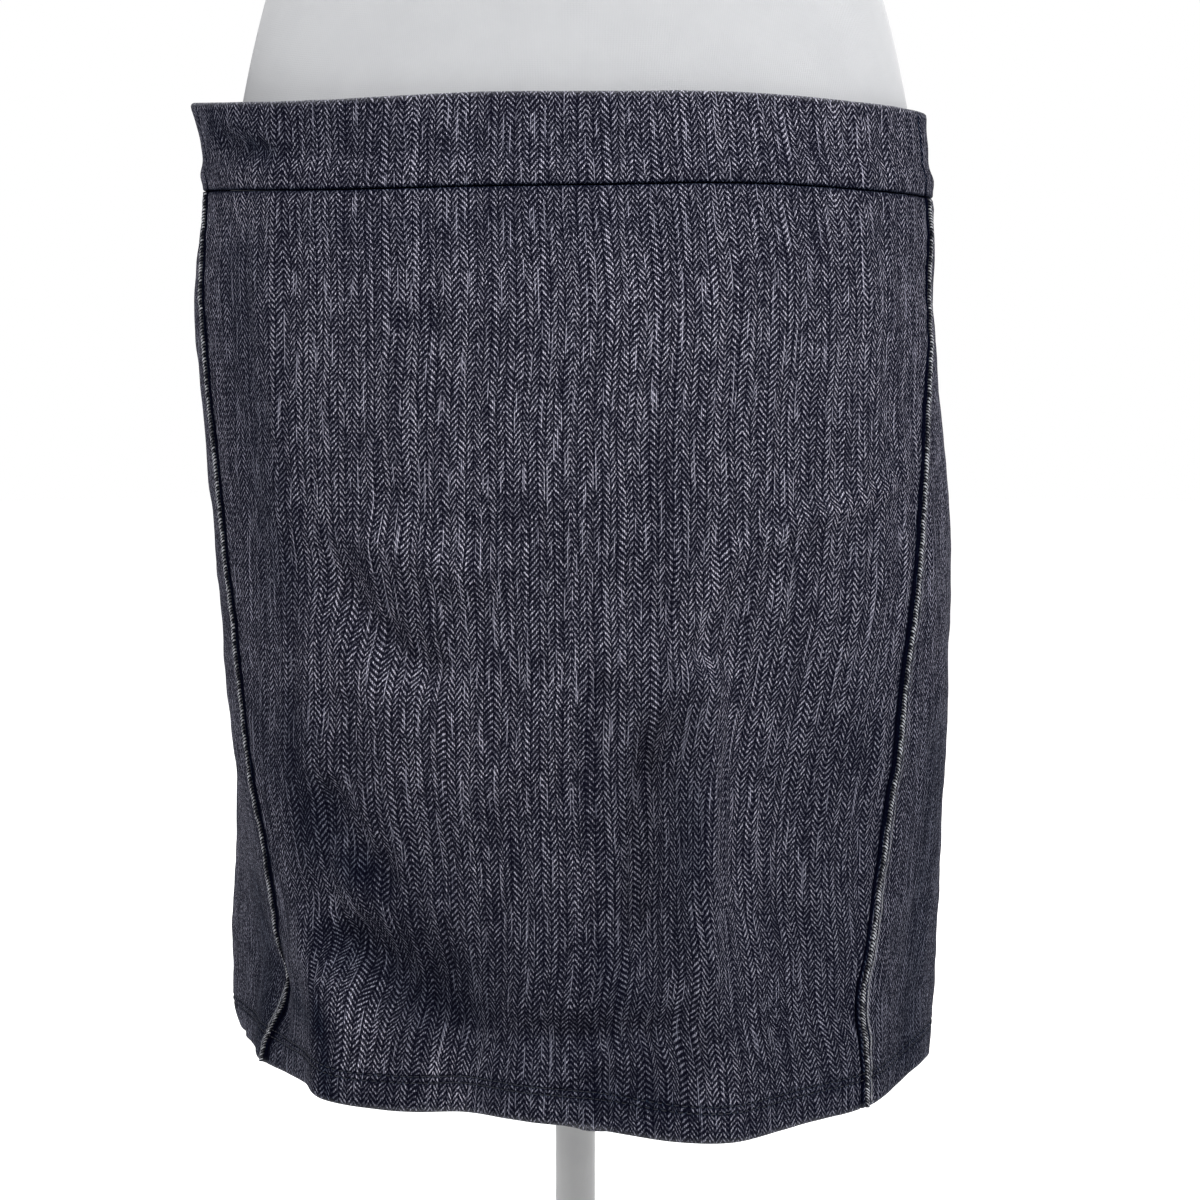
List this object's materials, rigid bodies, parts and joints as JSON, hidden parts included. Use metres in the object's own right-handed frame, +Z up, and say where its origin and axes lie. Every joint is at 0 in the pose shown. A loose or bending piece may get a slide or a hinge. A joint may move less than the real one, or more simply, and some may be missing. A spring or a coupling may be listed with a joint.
{
  "type": "skirt on a dress form",
  "caption": "Short straight skirt in dark herringbone denim with a wide plain waistband, worn by a white limbless dress form on a slim round stand.",
  "frame": {"origin": "centre of the stand base's underside, on the surface it stands on", "axes": "+Z up, -Y is the skirt's front, +X is the viewer's right when facing the front"},
  "size_m": [0.3781, 0.33, 1.2123],
  "materials": {
    "denim": "woven herringbone denim with slub, matte",
    "form_cover": "fine white jersey, matte",
    "form_trim": "plain white, satin",
    "stand_paint": "white powder coat, satin"
  },
  "bodies": {
    "root": {"front_panel": "denim", "back_panel": "denim", "waistband_front": "denim", "waistband_back": "denim", "side_welt_left": "denim", "side_welt_right": "denim", "hem_turnup_front": "denim", "hem_turnup_back": "denim", "form_torso": "form_cover", "form_neck_cap": "form_trim", "form_socket": "form_trim", "stand_pole": "stand_paint", "stand_collar": "stand_paint", "stand_base": "stand_paint"}
  },
  "joints": []
}
